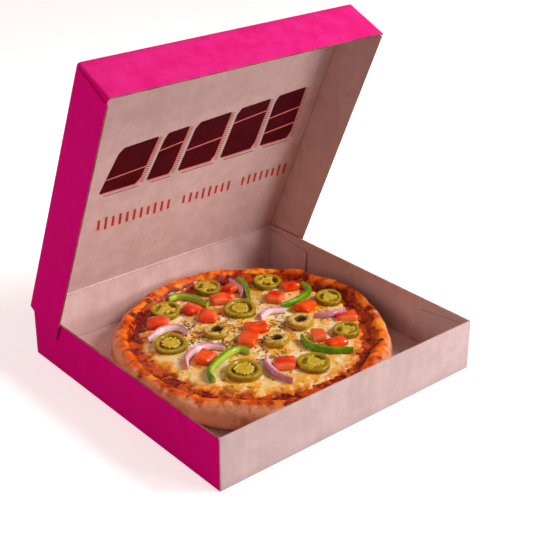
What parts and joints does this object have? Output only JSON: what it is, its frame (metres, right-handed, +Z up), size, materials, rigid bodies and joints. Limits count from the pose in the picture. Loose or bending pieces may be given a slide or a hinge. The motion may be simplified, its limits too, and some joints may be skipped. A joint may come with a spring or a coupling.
{
  "type": "pizza in its box",
  "caption": "Whole round pizza with sliced chilli, olive, pepper and onion in a square board box, whose hinged lid stands open and leans forward.",
  "frame": {"origin": "middle of the tray's underside, on the table", "axes": "+Z up, -Y towards the front wall, +X to the right seen from the front; the lid hinges on the rear wall's top edge"},
  "size_m": [0.252, 0.2415, 0.2646],
  "materials": {
    "board": "matte",
    "printed_board": "satin",
    "baked_dough": "matte",
    "tomato_sauce": "satin",
    "melted_cheese": "satin",
    "pickled_chilli": "satin",
    "green_olive": "satin",
    "red_pepper": "satin",
    "green_pepper": "satin",
    "red_onion": "satin"
  },
  "bodies": {
    "tray": {"tray": "board", "crust": "baked_dough", "sauce": "tomato_sauce", "cheese": "melted_cheese", "jalapeno_1": "pickled_chilli", "jalapeno_2": "pickled_chilli", "jalapeno_3": "pickled_chilli", "jalapeno_4": "pickled_chilli", "jalapeno_5": "pickled_chilli", "jalapeno_6": "pickled_chilli", "jalapeno_7": "pickled_chilli", "jalapeno_8": "pickled_chilli", "jalapeno_9": "pickled_chilli", "olive_1": "green_olive", "olive_2": "green_olive", "olive_3": "green_olive", "red_pepper_1": "red_pepper", "red_pepper_2": "red_pepper", "red_pepper_3": "red_pepper", "red_pepper_4": "red_pepper", "red_pepper_5": "red_pepper", "red_pepper_6": "red_pepper", "red_pepper_7": "red_pepper", "red_pepper_8": "red_pepper", "red_pepper_9": "red_pepper", "red_pepper_10": "red_pepper", "red_pepper_11": "red_pepper", "red_pepper_12": "red_pepper", "red_pepper_13": "red_pepper", "red_pepper_14": "red_pepper", "red_pepper_15": "red_pepper", "green_pepper_1": "green_pepper", "green_pepper_2": "green_pepper", "green_pepper_3": "green_pepper", "green_pepper_4": "green_pepper", "green_pepper_5": "green_pepper", "onion_1": "red_onion", "onion_2": "red_onion", "onion_3": "red_onion", "onion_4": "red_onion", "onion_5": "red_onion", "onion_6": "red_onion"},
    "lid": {"lid": "printed_board"}
  },
  "joints": [
    {"name": "lid_hinge", "type": "hinge", "parent": "tray", "child": "lid", "pos_m": [0, 0.12, 0.042], "axis": [-1, 0, 0], "range_deg": [-66.5, 113.5]}
  ]
}
